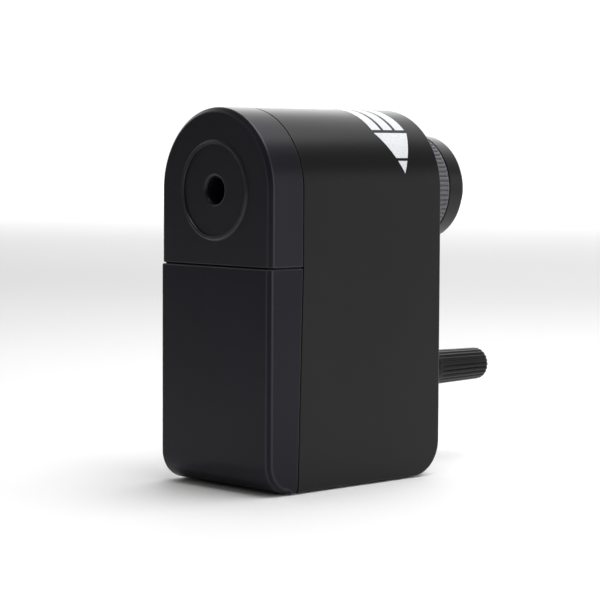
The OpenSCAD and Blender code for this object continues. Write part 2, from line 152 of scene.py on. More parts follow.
def rounded(bm, edges, radius, segments):
    bmesh.ops.bevel(bm, geom=edges, offset=mm(radius), offset_type="OFFSET", segments=segments,
                    profile=0.5, affect="EDGES", material=-1, clamp_overlap=False)
    return bm


def lathe(profile, y_axis_z=None, x=0, steps=96):
    """A closed [radius, y] profile turned once round a line along Y."""
    centre_z = AXIS_Z if y_axis_z is None else y_axis_z
    bm = solid()
    verts = [bm.verts.new(mm(x + r, y, centre_z)) for r, y in profile]
    edges = [bm.edges.new(pair) for pair in zip(verts, verts[1:] + verts[:1])]
    bmesh.ops.spin(bm, geom=verts + edges, cent=mm(x, 0, centre_z), axis=(0, 1, 0),
                   angle=2 * math.pi, steps=steps, use_merge=True)
    return tidy_normals(bm)


def rod(radius, y0, y1, centre_z=None, x=0, steps=64):
    """A plain cylinder along Y."""
    centre_z = AXIS_Z if centre_z is None else centre_z
    bm = solid()
    matrix = Matrix.Translation(mm(x, (y0 + y1) / 2, centre_z)) @ Matrix.Rotation(math.pi / 2, 4, "X")
    bmesh.ops.create_cone(bm, cap_ends=True, segments=steps, radius1=mm(radius), radius2=mm(radius),
                          depth=mm(y1 - y0), matrix=matrix)
    return bm


def ring_block(start, arc, inner_r, outer_r, y0, y1, steps=10):
    """A sector of a ring: its section is spun through an arc about the main axis."""
    bm = solid()
    corners = [(inner_r, y0), (outer_r, y0), (outer_r, y1), (inner_r, y1)]
    verts = [bm.verts.new(mm(r, y, AXIS_Z)) for r, y in corners]
    face = bmesh.ops.contextual_create(bm, geom=verts)["faces"][0]
    bmesh.ops.spin(bm, geom=[face], cent=mm(0, 0, AXIS_Z), axis=(0, 1, 0),
                   angle=math.radians(arc), steps=steps)
    turned(bm, start, "Y", mm(0, 0, AXIS_Z))
    return tidy_normals(bm)


def loft(rows, steps, centre_z, wave=None, closed=False):
    """Rings of vertices round a line along Y, joined row by row.

    A row is (y, radius, wave height); wave(share of a turn) scales the height.
    """
    bm = solid()
    first = None
    previous = None
    for y, radius, height in rows:
        matrix = Matrix.Translation(mm(0, y, centre_z)) @ Matrix.Rotation(math.pi / 2, 4, "X")
        verts = bmesh.ops.create_circle(bm, cap_ends=False, segments=steps, radius=mm(radius),
                                        matrix=matrix)["verts"]
        if height and wave:
            for i, v in enumerate(verts):
                reach = 1 + height * wave(i / steps) / radius
                v.co.x *= reach
                v.co.z = mm(centre_z) + (v.co.z - mm(centre_z)) * reach
        edges = list({e for v in verts for e in v.link_edges})
        if previous:
            bmesh.ops.bridge_loops(bm, edges=previous + edges)
        else:
            first = edges
        previous = edges
    if closed:
        bmesh.ops.bridge_loops(bm, edges=previous + first)
    else:
        for loop in (first, previous):
            bmesh.ops.contextual_create(bm, geom=loop)
    return tidy_normals(bm)


def as_object(bm, name):
    mesh = bpy.data.meshes.new(name)
    bm.to_mesh(mesh)
    bm.free()
    obj = bpy.data.objects.new(name, mesh)
    bpy.context.scene.collection.objects.link(obj)
    return obj


def carved(base, *steps):
    """Joins closed solids to a base or cuts them out of it, in order."""
    body = as_object(base, "blank")
    tools = []
    for operation, tool in steps:
        other = as_object(tool, "tool")
        modifier = body.modifiers.new(operation, "BOOLEAN")
        modifier.operation = operation
        modifier.solver = "EXACT"
        modifier.object = other
        tools.append(other)
    bpy.context.view_layer.update()
    made = body.evaluated_get(bpy.context.evaluated_depsgraph_get()).to_mesh()
    bm = solid()
    bm.from_mesh(made)
    body.evaluated_get(bpy.context.evaluated_depsgraph_get()).to_mesh_clear()
    for obj in [body] + tools:
        mesh = obj.data
        bpy.data.objects.remove(obj)
        bpy.data.meshes.remove(mesh)
    bmesh.ops.remove_doubles(bm, verts=bm.verts, dist=mm(0.001))
    bmesh.ops.dissolve_degenerate(bm, edges=bm.edges, dist=mm(0.001))
    return bm


def joined(base, *others):
    """Adds separate closed solids to one mesh."""
    for other in others:
        mesh = bpy.data.meshes.new("part")
        other.to_mesh(mesh)
        other.free()
        base.from_mesh(mesh)
        bpy.data.meshes.remove(mesh)
    return base


def piece(bm, name, body, material, node=None, edge=0.25, segments=3, crease=32, highlight_paint=None):
    """Makes a finished piece: smooth faces, crisp creases, a small rounded edge and its material; a lighter
    second material, if given, colours the rounded edge as a painted highlight.
    """
    for face in bm.faces:
        face.smooth = True
    limit = math.radians(crease)
    for e in bm.edges:
        e.smooth = not (len(e.link_faces) == 2 and e.calc_face_angle(0) > limit)
    obj = as_object(bm, name)
    if edge:
        for e in obj.data.edges:
            e.use_edge_sharp = False
        modifier = obj.modifiers.new("edges", "BEVEL")
        modifier.width = mm(edge)
        modifier.segments = segments
        modifier.limit_method = "ANGLE"
        modifier.angle_limit = limit
        modifier.harden_normals = True
        modifier.use_clamp_overlap = False
        modifier = obj.modifiers.new("normals", "WEIGHTED_NORMAL")
        modifier.keep_sharp = True
    obj.data.materials.append(material)
    # the lighter second material on the bevels is a painted highlight
    if edge and highlight_paint:
        obj.data.materials.append(highlight_paint)
        obj.modifiers["edges"].material = 1
    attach(obj, body)
    if node:
        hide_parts(node)
    return obj


# ---- materials ----
class Nodes:
    """A small helper round one material's node tree."""

    def __init__(self, name):
        self.material = bpy.data.materials.new(name)
        self.material.use_nodes = True
        self.tree = self.material.node_tree
        self.shader = self.tree.nodes["Principled BSDF"]
        self.coords = self.tree.nodes.new("ShaderNodeTexCoord").outputs["Object"]

    def add(self, kind, **values):
        node = self.tree.nodes.new(kind)
        for key, value in values.items():
            if hasattr(node, key):
                setattr(node, key, value)
            else:
                node.inputs[key.replace("_", " ")].default_value = value
        return node

    def link(self, source, target):
        self.tree.links.new(source, target)

    def stretched(self, scale):
        node = self.add("ShaderNodeMapping")
        node.inputs["Scale"].default_value = scale
        self.link(self.coords, node.inputs["Vector"])
        return node.outputs["Vector"]

    def noise(self, scale, detail=3, roughness=0.5, vector=None):
        node = self.add("ShaderNodeTexNoise", Scale=scale, Detail=detail, Roughness=roughness)
        self.link(vector or self.coords, node.inputs["Vector"])
        return node.outputs["Fac"]

    def spread(self, value, low, high, from_low=0.3, from_high=0.7):
        node = self.add("ShaderNodeMapRange")
        for key, number in (("From Min", from_low), ("From Max", from_high),
                            ("To Min", low), ("To Max", high)):
            node.inputs[key].default_value = number
        self.link(value, node.inputs["Value"])
        return node.outputs["Result"]

    def blend(self, factor, colour_a, colour_b):
        node = self.add("ShaderNodeMix", data_type="RGBA")
        node.inputs[6].default_value = (*colour_a, 1)
        node.inputs[7].default_value = (*colour_b, 1)
        self.link(factor, node.inputs[0])
        return node.outputs[2]

    def bump(self, height, strength, distance, onto=None):
        node = self.add("ShaderNodeBump")
        node.inputs["Strength"].default_value = strength
        node.inputs["Distance"].default_value = distance
        self.link(height, node.inputs["Height"])
        if onto:
            self.link(onto, node.inputs["Normal"])
        return node.outputs["Normal"]


def moulded_plastic(name, dark, light, gloss=(0.30, 0.35), grain=3200, grain_height=0.02, ior_level=0.2):
    """Moulded plastic: spark-eroded grain, slow patches in the gloss and a faint flow in the colour."""
    n = Nodes(name)
    n.shader.inputs["Specular IOR Level"].default_value = ior_level
    flow = n.noise(28, detail=2, vector=n.stretched((1, 1, 0.35)))
    n.link(n.blend(n.spread(flow, 0, 1), dark, light), n.shader.inputs["Base Color"])
    patches = n.spread(n.noise(34, detail=2, roughness=0.4), gloss[0], gloss[1], 0.15, 0.85)
    n.link(patches, n.shader.inputs["Roughness"])
    fine = n.bump(n.noise(grain, detail=2, roughness=0.55), 0.35, mm(grain_height))
    waves = n.bump(n.noise(90, detail=1), 0.05, mm(0.03), onto=fine)
    n.link(waves, n.shader.inputs["Normal"])
    return n.material


def turned_steel(name, colour, gloss=(0.22, 0.38), lines=(6, 900, 900)):
    """Steel with fine marks across one direction and slightly uneven gloss."""
    n = Nodes(name)
    n.shader.inputs["Metallic"].default_value = 1.0
    marks = n.noise(1, detail=4, roughness=0.7, vector=n.stretched(lines))
    dark = tuple(c * 0.82 for c in colour)
    n.link(n.blend(n.spread(marks, 0, 1), dark, colour), n.shader.inputs["Base Color"])
    n.link(n.spread(marks, gloss[0], gloss[1]), n.shader.inputs["Roughness"])
    n.link(n.bump(marks, 0.25, mm(0.01)), n.shader.inputs["Normal"])
    return n.material


def foam_rubber(name):
    """Closed-cell foam rubber: matt, with a fine open skin."""
    n = Nodes(name)
    n.shader.inputs["Specular IOR Level"].default_value = 0.2
    cells = n.add("ShaderNodeTexVoronoi", Scale=1500.0)
    n.link(n.coords, cells.inputs["Vector"])
    n.link(n.blend(n.spread(n.noise(700, detail=3), 0, 1), (0.012, 0.012, 0.012), (0.026, 0.026, 0.027)),
           n.shader.inputs["Base Color"])
    n.link(n.spread(n.noise(300), 0.78, 0.92), n.shader.inputs["Roughness"])
    n.link(n.bump(cells.outputs["Distance"], 0.6, mm(0.12)), n.shader.inputs["Normal"])
    return n.material


def screen_print(name):
    """White print ink: nearly even, with a trace of the plastic's grain showing through."""
    n = Nodes(name)
    n.link(n.blend(n.spread(n.noise(1400, detail=3), 0, 1), (0.62, 0.63, 0.66), (0.72, 0.73, 0.75)),
           n.shader.inputs["Base Color"])
    n.link(n.spread(n.noise(200), 0.42, 0.55), n.shader.inputs["Roughness"])
    n.link(n.bump(n.noise(3200, detail=2), 0.25, mm(0.02)), n.shader.inputs["Normal"])
    return n.material


shell_plastic = moulded_plastic("shell_plastic", (0.0055, 0.0054, 0.0060), (0.0075, 0.0073, 0.0082))
cover_plastic = moulded_plastic("cover_plastic", (0.0068, 0.0064, 0.0100), (0.0092, 0.0086, 0.0132))
drawer_plastic = moulded_plastic("drawer_plastic", (0.0064, 0.0058, 0.0105), (0.0088, 0.0080, 0.0145),
                                 gloss=(0.27, 0.30), ior_level=0.15)
crank_plastic = moulded_plastic("crank_plastic", (0.0040, 0.0040, 0.0044), (0.0058, 0.0057, 0.0062),
                                ior_level=0.17)
grip_plastic = moulded_plastic("grip_plastic", (0.0045, 0.0044, 0.0050), (0.0070, 0.0069, 0.0078),
                               gloss=(0.36, 0.42), ior_level=0.16)
ring_plastic = moulded_plastic("ring_plastic", (0.085, 0.08, 0.095), (0.11, 0.105, 0.12),
                               gloss=(0.38, 0.5), ior_level=0.5)
frame_plastic = moulded_plastic("frame_plastic", (0.05, 0.05, 0.053), (0.068, 0.068, 0.071),
                                gloss=(0.42, 0.55), grain=1800, grain_height=0.04, ior_level=0.45)
gear_plastic = moulded_plastic("gear_plastic", (0.66, 0.65, 0.59), (0.75, 0.74, 0.69),
                               gloss=(0.36, 0.48), grain=2400, ior_level=0.5)
plain_steel = turned_steel("plain_steel", (0.60, 0.60, 0.61))
cutter_steel = turned_steel("cutter_steel", (0.46, 0.46, 0.48), gloss=(0.26, 0.42), lines=(700, 40, 700))
# the same plastics made lighter and glossier, for the rounded edges and the cover's raised ring: a painted
# highlight
casing_painted_edge_highlight = moulded_plastic("casing_painted_edge_highlight", (0.0085, 0.0083, 0.0092), (0.0130, 0.0127, 0.0140),
                              gloss=(0.26, 0.34))
cover_painted_edge_highlight = moulded_plastic("cover_painted_edge_highlight", (0.0120, 0.0116, 0.0155), (0.0195, 0.0188, 0.0240),
                             gloss=(0.26, 0.34), ior_level=0.3)
pad_rubber = foam_rubber("pad_rubber")
print_ink = screen_print("print_ink")


# ---- casing ----
def casing_solid(half_w, low_z, y_front, lean, y_rear, foot_r, rear_r, foot_steps):
    """The arched block of the casing, or of its hollow: its front leans out below the parting line."""
    bm = arch_prism(half_w, low_z, y_front, y_rear)
    bmesh.ops.bisect_plane(bm, geom=bm.verts[:] + bm.edges[:] + bm.faces[:], dist=mm(0.001),
                           plane_co=mm(0, 0, PART_Z), plane_no=(0, 0, 1))
    for v in bm.verts:
        if v.co.z < mm(low_z + 1) and v.co.y < mm(y_front + 1):
            v.co.y -= mm(lean)
    rear_low = edges_where(bm, lambda a, b: min(a.y, b.y) > y_rear - 0.01 and max(a.z, b.z) < low_z + 0.01)
    rounded(bm, rear_low, foot_r, foot_steps)
    if rear_r:
        def rear_outline(a, b):
            on_rear = min(a.y, b.y) > y_rear - 0.01 and max(a.z, b.z) > low_z + foot_r - 0.01
            outside = max(abs(a.x), abs(b.x)) > half_w - 0.01 or min(a.z, b.z) > AXIS_Z
            flat = abs(a.z - b.z) < 0.01 and a.z < AXIS_Z
            return on_rear and outside and not flat

        def foot_sides(a, b):
            side = min(abs(a.x), abs(b.x)) > half_w - 0.01 and a.x * b.x > 0
            return side and max(a.z, b.z) < low_z + foot_r + 0.01 and abs(a.y - b.y) > 0.001 \
                and min(a.y, b.y) > y_front - lean - 0.01
        edges = set(edges_where(bm, rear_outline)) | set(edges_where(bm, foot_sides))
        rounded(bm, list(edges), rear_r, 4)
    return tidy_normals(bm)


BOSS_Y = REAR_Y + 3
COLLAR_Y = REAR_Y + 10
COLLAR_R = 15.2
SOCKET_R = 14
SCREW_X = 17
SCREW_Z = 74.5
SCREW_HEAD_R = 3.2
SCREW_SHANK_R = 1.7
LUG_START = -110
LUG_ARC = 40
STOP_ARC = 19
LEDGE_Z = 66.6


def make_casing():
    """The shell with its boss, collar, bayonet lugs, screw holes, pad recess and drawer ledges."""
    outer = casing_solid(HALF_W - PRINT_T, BASE_Z, SEAM_Y, SEAM_LEAN, REAR_Y, 11.2, 0.9, 14)
    inner = casing_solid(HALF_W - WALL, BASE_Z + WALL, SEAM_Y - 4, 0, REAR_Y - 3, 8, 0, 10)
    boss = lathe([(0, REAR_Y - 2), (HEAD_R, REAR_Y - 2), (HEAD_R, BOSS_Y), (0, BOSS_Y)])
    collar = rod(COLLAR_R, REAR_Y, COLLAR_Y, steps=96)
    lugs = []
    for i in range(3):
        lugs.append(("UNION", ring_block(LUG_START + 120 * i, LUG_ARC, COLLAR_R - 0.5, COLLAR_R + 1.1,
                                         COLLAR_Y - 2, COLLAR_Y)))
        lugs.append(("UNION", ring_block(LUG_START - STOP_ARC - 0.5 + 120 * i, STOP_ARC, COLLAR_R - 0.5,
                                         COLLAR_R + 1.1, COLLAR_Y - 4.6, COLLAR_Y)))
    pad_size = (pad_high - pad_low) / 2
    holes = [("DIFFERENCE", rod(SOCKET_R, REAR_Y - 6, COLLAR_Y + 2, steps=96)),
             ("DIFFERENCE", block((-pad_size.x - 0.1, -pad_size.y - 0.1, -2),
                                  (pad_size.x + 0.1, pad_size.y + 0.1, pad_high.z)))]
    for x in (-SCREW_X, SCREW_X):
        holes.append(("DIFFERENCE", rod(SCREW_HEAD_R, REAR_Y - 1.6, REAR_Y + 2,
                                        centre_z=SCREW_Z, x=x, steps=40)))
        holes.append(("DIFFERENCE", rod(SCREW_SHANK_R, REAR_Y - 6, REAR_Y,
                                        centre_z=SCREW_Z, x=x, steps=24)))
    bm = carved(outer, ("DIFFERENCE", inner), ("UNION", boss), ("UNION", collar), *lugs, *holes)
    for side in (-1, 1):
        inside = side * (HALF_W - WALL + 0.5)
        edge = side * (HALF_W - WALL - 1.5)
        low = (min(inside, edge), FRONT_Y + 18, LEDGE_Z)
        high = (max(inside, edge), REAR_Y - 3.5, LEDGE_Z + 1.2)
        joined(bm, block(low, high))
    return bm


piece(make_casing(), "casing_shell", "casing", shell_plastic, node="casing", highlight_paint=casing_painted_edge_highlight)


# ---- front cover ----
HOLE_R = 4.1
RIM_R = 4.85
GUIDE_R = 6.2
COVER_WALL = 2.6
POST_Z = 76.5                      # height of the cover's two screw posts
POST_R = 3
PILOT_R = 1.05
BEAD_R = 14.85                     # crest of the raised ring, and the width of its two sides
BEAD_IN = 0.5
BEAD_OUT = 1.2
BEAD_STEPS = 8


def make_cover():
    """The arched cover with its bevelled outline, raised ring, countersunk hole and screw posts."""
    low_z = PART_Z + 0.2
    y_rear = SEAM_Y - SEAM_GAP
    outer = arch_prism(HALF_W, low_z, FRONT_Y, y_rear, steps=96)

    def front_outline(a, b):
        flat_low = max(a.z, b.z) < low_z + 0.01
        return max(a.y, b.y) < FRONT_Y + 0.01 and not flat_low
    rounded(outer, edges_where(outer, front_outline), BEVEL, 1)
    inner = arch_prism(HALF_W - WALL - 1.4, low_z + 2, FRONT_Y + COVER_WALL, y_rear + 1, steps=72)
    lip = arch_prism(HALF_W - WALL - 0.2, low_z, y_rear - 3, y_rear + SEAM_GAP + 3.3, steps=72)
    lip_hollow = arch_prism(HALF_W - WALL - 1.6, low_z + 2, y_rear - 4, y_rear + 8, steps=72)
    lip = carved(lip, ("DIFFERENCE", lip_hollow))
    hole = lathe([(0, FRONT_Y - 0.5), (RIM_R + 0.4, FRONT_Y - 0.5), (RIM_R, FRONT_Y), (4.35, FRONT_Y + 0.55),
                  (HOLE_R, FRONT_Y + 1), (HOLE_R, FRONT_Y + 5), (0, FRONT_Y + 5)], steps=72)
    seat = rod(GUIDE_R + 0.05, FRONT_Y + COVER_WALL, FRONT_Y + 12)
    sleeve = rod(GUIDE_R + 1.6, FRONT_Y + 1.5, FRONT_Y + 9)
    posts = [("UNION", rod(POST_R, FRONT_Y + 1.5, FRONT_Y + 14.4, centre_z=POST_Z, x=x, steps=32))
             for x in (-SCREW_X, SCREW_X)]
    pilots = [("DIFFERENCE", rod(PILOT_R, FRONT_Y + 5, FRONT_Y + 25, centre_z=POST_Z, x=x, steps=20))
              for x in (-SCREW_X, SCREW_X)]
    tongue = block((-HALF_W + 0.6, FRONT_Y + 0.6, low_z - 0.3), (HALF_W - 0.6, y_rear - 0.6, low_z + 0.6))
    rounded(tongue, edges_where(tongue, lambda a, b: abs(a.z - b.z) > 0.5 and max(a.y, b.y) < FRONT_Y + 1),
            BEVEL, 1)
    # the raised ring: a steep inner side, a rounded crest and a longer outer side
    bead = [(BEAD_R - BEAD_IN, FRONT_Y + 0.6)]
    for i in range(-BEAD_STEPS, BEAD_STEPS + 1):
        out = i / BEAD_STEPS * (BEAD_IN if i < 0 else BEAD_OUT)
        proud = BEAD_PROUD * (0.5 + 0.5 * math.cos(math.pi * i / BEAD_STEPS))
        bead.append((BEAD_R + out, FRONT_Y - proud))
    bead.append((BEAD_R + BEAD_OUT, FRONT_Y + 0.6))
    cover = carved(outer, ("DIFFERENCE", inner), ("UNION", lip), ("UNION", sleeve), *posts, ("UNION", tongue),
                   ("UNION", lathe(bead, steps=144)), ("DIFFERENCE", hole), ("DIFFERENCE", seat), *pilots)
    # the raised ring's faces take the lighter edge material: a painted highlight on the ring
    for face in cover.faces:
        if face.calc_center_median().y < mm(FRONT_Y - 0.1):
            face.material_index = 1
    return cover


piece(make_cover(), "front_cover_shell", "casing", cover_plastic, node="front_cover", edge=0.35,
      segments=3, crease=30, highlight_paint=cover_painted_edge_highlight)


# ---- shavings drawer ----
def make_drawer():
    """The face block with its rounded foot, and the open bin behind it."""
    foot_r = 9.6
    heel_r = 1.8
    back_low = SEAM_Y - SEAM_LEAN - SEAM_GAP
    back_top = SEAM_Y - SEAM_GAP
    face = side_prism([(DRAWER_Y, BASE_Z), (back_low, BASE_Z), (back_top, drawer_high.z),
                       (DRAWER_Y, drawer_high.z)], HALF_W)
    foot = edges_where(face, lambda a, b: max(a.y, b.y) < DRAWER_Y + 0.01 and max(a.z, b.z) < BASE_Z + 0.01)
    rounded(face, foot, foot_r, 16)
    heel = edges_where(face, lambda a, b: abs(a.x - b.x) > 1 and min(a.y, b.y) > back_low - 0.01
                       and max(a.z, b.z) < BASE_Z + 0.01)
    rounded(face, heel, heel_r, 5)

    def side_front(a, b):
        side = min(abs(a.x), abs(b.x)) > HALF_W - 0.01 and a.x * b.x > 0
        upright = max(a.y, b.y) < DRAWER_Y + 0.01
        curved = max(a.z, b.z) < BASE_Z + foot_r + 0.01 and max(a.y, b.y) < DRAWER_Y + foot_r + 0.01
        return side and (upright or curved)
    rounded(face, edges_where(face, side_front), BEVEL, 1)
    bin_w = HALF_W - WALL - 0.6
    bin_t = 1.6
    bin_z = BASE_Z + WALL + 0.5
    bin_end = REAR_Y - 5
    bin_top = LEDGE_Z - 0.6
    bin_rear_r = 7.5
    hollow_rear_r = 5.9
    tray = side_prism([(FRONT_Y + 8, bin_z), (bin_end, bin_z), (bin_end, bin_top),
                       (FRONT_Y + 8, bin_top)], bin_w)
    rear = edges_where(tray, lambda a, b: abs(a.x - b.x) > 1 and min(a.y, b.y) > bin_end - 0.01
                       and max(a.z, b.z) < bin_z + 0.01)
    rounded(tray, rear, bin_rear_r, 10)
    hollow = side_prism([(FRONT_Y + 2.2, bin_z + bin_t), (bin_end - bin_t, bin_z + bin_t),
                         (bin_end - bin_t, 90), (FRONT_Y + 2.2, 90)], bin_w - bin_t)
    corners = edges_where(hollow, lambda a, b: abs(a.x - b.x) > 1 and max(a.z, b.z) < bin_z + bin_t + 0.01
                          and max(a.y, b.y) < FRONT_Y + 3)
    rounded(hollow, corners, foot_r, 14)
    corners = edges_where(hollow, lambda a, b: abs(a.x - b.x) > 1 and max(a.z, b.z) < bin_z + bin_t + 0.01
                          and min(a.y, b.y) > bin_end - bin_t - 0.01)
    rounded(hollow, corners, hollow_rear_r, 10)
    return carved(face, ("UNION", tray), ("DIFFERENCE", hollow))


piece(make_drawer(), "drawer_body", "drawer", drawer_plastic, node="shavings_drawer",
      edge=0.4, segments=3, crease=30, highlight_paint=cover_painted_edge_highlight)


# ---- locking ring ----
KNURLS = 72


def knurl(share):
    """Flat-topped ribs with round-bottomed grooves, as a share of a turn."""
    phase = (share * KNURLS) % 1
    return -abs(math.sin(math.pi * min(1, max(0, (phase - 0.34) / 0.5)))) ** 0.8


def make_ring():
    """The knurled ring with its inner lip and the three lugs that lock it."""
    outer = (ring_high.x - ring_low.x) / 2
    y0, y1 = REAR_Y + 3.2, ring_high.y
    cavity = COLLAR_R + 1.4
    step = 0.55                    # depth of the grooves
    lip_r = 12.8
    rows = [(y0, cavity, 0), (y0, outer - step - 0.3, 0), (y0 + 0.3, outer - step, 0),
            (y0 + 0.75, outer, step), (y1 - 0.75, outer, step), (y1 - 0.45, outer, 0.1),
            (y1 - 0.1, outer, 0), (y1, outer - 0.1, 0), (y1, lip_r, 0), (y1 - 0.7, lip_r, 0),
            (y1 - 0.7, cavity, 0)]
    bm = loft(rows, KNURLS * 8, AXIS_Z, wave=knurl, closed=True)
    lugs = [ring_block(LUG_START + 120 * i, LUG_ARC, COLLAR_R + 0.2, cavity + 0.3,
                       COLLAR_Y - 4.4, COLLAR_Y - 2.4) for i in range(3)]
    return joined(bm, *lugs)


piece(make_ring(), "lock_ring_knurled", "locking_ring", ring_plastic, node="lock_ring",
      edge=0, crease=38)


# ---- crank ----
HEAD_Y0 = FRONT_Y + 89
RIM_Y = FRONT_Y + 96.2             # where the head's rim ends and its cone starts
HEAD_Y1 = FRONT_Y + 102.5
RIM_END_R = 17.5
CONE_END_R = 12.1
ARM_T = 6
ARM_DROP = 0.6
ARM_END_R = 7
CAP_R = 8
DRIVE_HALF = 4.55                  # half the width of the square drive
SCREW_BORE_R = 3.4
SPINDLE_BORE_R = 2.52


def make_arm():
    """The coned head and the arm that hangs from it, with the bores for screw, drive and spindle."""
    profile = [(0, HEAD_Y0 - 0.3), (12, HEAD_Y0 - 0.3), (12, HEAD_Y0), (HEAD_R - 0.12, HEAD_Y0),
               (HEAD_R, HEAD_Y0 + 0.12), (RIM_END_R, RIM_Y), (CONE_END_R, HEAD_Y1), (0, HEAD_Y1)]
    head = lathe(profile, steps=144)
    side = side_prism([(HEAD_Y0 + 0.6, AXIS_Z), (HEAD_Y0 + 0.6, AXIS_Z - HEAD_R),
                       (HEAD_Y0 + 0.6 + ARM_DROP, GRIP_Z + ARM_END_R),
                       (HEAD_Y0 + 0.6 + ARM_DROP, GRIP_Z - ARM_END_R),
                       (HEAD_Y0 + ARM_T + 0.8 + ARM_DROP, GRIP_Z - ARM_END_R),
                       (HEAD_Y0 + ARM_T + 0.8 + ARM_DROP, GRIP_Z + ARM_END_R),
                       (HEAD_Y0 + ARM_T + 0.4, AXIS_Z - HEAD_R + 2),
                       (HEAD_Y0 + ARM_T + 0.4, AXIS_Z)], ARM_END_R + 1)
    plan = solid()
    start = plan.verts.new(mm(-ARM_END_R, HEAD_Y0, GRIP_Z))
    spun = bmesh.ops.spin(plan, geom=[start], cent=mm(0, HEAD_Y0, GRIP_Z), axis=(0, -1, 0),
                          angle=math.pi, steps=32)
    last = [g for g in spun["geom_last"] if isinstance(g, bmesh.types.BMVert)][0]
    tops = bmesh.ops.extrude_vert_indiv(plan, verts=[start, last])["verts"]
    for v in tops:
        v.co.z = mm(AXIS_Z)
        v.co.x *= 7.5 / ARM_END_R
    plan.edges.new(tops)
    face = bmesh.ops.contextual_create(plan, geom=plan.edges[:])["faces"][0]
    drawn = bmesh.ops.extrude_face_region(plan, geom=[face])["geom"]
    moved(plan, [g for g in drawn if isinstance(g, bmesh.types.BMVert)], (0, 20, 0))
    tidy_normals(plan)
    arm = carved(side, ("INTERSECT", plan))
    hollow = lathe([(12, HEAD_Y0 - 1), (HEAD_R - 1.8, HEAD_Y0 - 1), (HEAD_R - 1.8, HEAD_Y0 + 3.5),
                    (12, HEAD_Y0 + 3.5)])
    spigot = block((-DRIVE_HALF, HEAD_Y0 - 2, AXIS_Z - DRIVE_HALF),
                   (DRIVE_HALF, FRONT_Y + 92.5, AXIS_Z + DRIVE_HALF))
    return carved(head, ("DIFFERENCE", hollow), ("UNION", arm), ("DIFFERENCE", spigot),
                  ("DIFFERENCE", rod(SCREW_SHANK_R, HEAD_Y0, HEAD_Y0 + 20, steps=24)),
                  ("DIFFERENCE", rod(SCREW_BORE_R, FRONT_Y + 93.7, HEAD_Y0 + 20, steps=32)),
                  ("DIFFERENCE", rod(CAP_R + 0.05, HEAD_Y1 - 0.6, HEAD_Y0 + 20, steps=72)),
                  ("DIFFERENCE", rod(SPINDLE_BORE_R, HEAD_Y0 + 3, HEAD_Y0 + 25, centre_z=GRIP_Z, steps=32)))


piece(make_arm(), "crank_arm_body", "crank", crank_plastic, node="crank_arm", edge=0.35,
      segments=4, crease=24, highlight_paint=casing_painted_edge_highlight)


def make_cap():
    """The plug over the screw, with a rounded edge and a shallow dish."""
    y0 = cap_low.y
    top = cap_high.y
    r = CAP_R - 0.05
    profile = [(0, y0), (r, y0), (r, top - 0.45), (r - 0.13, top - 0.2), (r - 0.45, top - 0.05),
               (r - 0.9, top), (r - 2.2, top), (r - 2.5, top - 0.2), (r - 2.9, top - 0.25), (0, top - 0.12)]
    return lathe(profile, steps=96)


piece(make_cap(), "hub_cap_disc", "crank", crank_plastic, node="hub_cap", edge=0, crease=40)


# ---- grip ----
GRIP_RIBS = 22
RIB_DEPTH = 0.4


def rib(share):
    """Broad round ribs with narrow grooves between them."""
    phase = (share * GRIP_RIBS) % 1
    return -(1 - abs(math.sin(math.pi * phase)) ** 0.55)


def make_grip():
    """The ribbed grip: a smooth collar, a slight taper, a rounded end and a blind bore."""
    y0, y1 = grip_low.y, grip_high.y
    base_r = 6.0
    tip_r = base_r * 0.917
    end_r = 1.4
    bore_r = 2.62
    rows = [(y0 + 1, bore_r, 0), (y0, 2.9, 0), (y0, base_r - 0.35, 0), (y0 + 0.1, base_r - 0.1, 0),
            (y0 + 0.35, base_r, 0), (y0 + 2.55, base_r, 0), (y0 + 2.8, base_r, 0.12),
            (y0 + 3.1, base_r, RIB_DEPTH)]
    straight = y1 - end_r
    count = 8
    for i in range(1, count + 1):
        share = i / count
        y = y0 + 3.1 + (straight - y0 - 3.1) * share
        rows.append((y, base_r + (tip_r - base_r) * share, RIB_DEPTH))
    for i in range(1, 8):
        turn = math.radians(90 * i / 7)
        radius = tip_r - end_r + end_r * math.cos(turn)
        rows.append((straight + end_r * math.sin(turn), radius, RIB_DEPTH * (1 - (i / 7) ** 3)))
    rows += [(y1, 2.6, 0), (y1, 1.2, 0), (y1, 0.3, 0)]
    bore = [(y0 + 24.4, 0.3, 0), (y0 + 24.4, bore_r, 0)]
    return loft(bore + rows, GRIP_RIBS * 10, GRIP_Z, wave=rib)


piece(make_grip(), "grip_ribbed", "grip", grip_plastic, node="crank_grip", edge=0, crease=42)


# ---- base pad ----
def make_pad():
    """The soft pad with rounded corners."""
    bm = block(pad_low, pad_high)
    corners = edges_where(bm, lambda a, b: abs(a.z - b.z) > 1)
    rounded(bm, corners, 4, 8)
    return bm


piece(make_pad(), "non_slip_pad", "casing", pad_rubber, node="base_pad", edge=0.25, segments=2)


# ---- print on the arch: a pencil, drawn flat and wrapped over the top ----
PRINT_FRONT = 52.2                  # depth of the print behind the cover's face
PRINT_WIDE = 15.2
PRINT_START = 11.7                  # where it starts, in degrees above the right-hand side


def print_patch(corners):
    """A flat patch, corners as [along, across] in millimetres, ready to be wrapped."""
    bm = solid()
    verts = [bm.verts.new((a * 0.001, c * 0.001, 0)) for a, c in corners]
    face = bmesh.ops.contextual_create(bm, geom=verts)["faces"][0]
    drawn = bmesh.ops.extrude_face_region(bm, geom=[face])["geom"]
    moved(bm, [g for g in drawn if isinstance(g, bmesh.types.BMVert)], (0, 0, PRINT_T))
    low = min(a for a, c in corners)
    high = max(a for a, c in corners)
    cuts = max(1, int((high - low) / 0.6))
    for i in range(1, cuts):
        along = low + (high - low) * i / cuts
        bmesh.ops.bisect_plane(bm, geom=bm.verts[:] + bm.edges[:] + bm.faces[:], dist=mm(0.0005),
                               plane_co=mm(along, 0, 0), plane_no=(1, 0, 0))
    return tidy_normals(bm)


